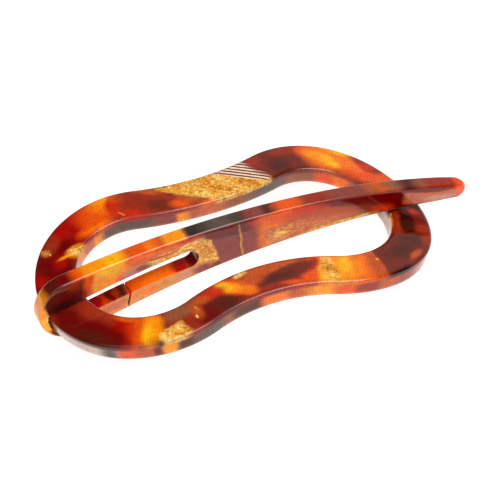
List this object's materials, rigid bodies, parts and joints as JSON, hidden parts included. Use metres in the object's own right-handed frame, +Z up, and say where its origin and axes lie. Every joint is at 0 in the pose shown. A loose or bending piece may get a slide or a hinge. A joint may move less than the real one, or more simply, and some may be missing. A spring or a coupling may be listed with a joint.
{
  "type": "hair slide with stick",
  "caption": "Arched peanut-shaped hair slide in tortoiseshell acetate, with a slotted stick threaded on one end bar and laid over the other.",
  "frame": {"origin": "on the table, under the middle of the slide's box", "axes": "+X along the slide towards the stick's free tip, +Y across it, +Z up"},
  "size_m": [0.1108, 0.0548, 0.0189],
  "materials": {
    "frame_acetate": "polished tortoiseshell cellulose acetate",
    "stick_acetate": "polished tortoiseshell cellulose acetate"
  },
  "bodies": {
    "frame": {"frame": "frame_acetate"},
    "stick": {"stick": "stick_acetate"}
  },
  "joints": [
    {"name": "stick_slide", "type": "hinge", "parent": "frame", "child": "stick", "pos_m": [0.00274, -0.00115, -0.19309], "axis": [0, 1, 0], "range_deg": [-7.2, 0]}
  ]
}
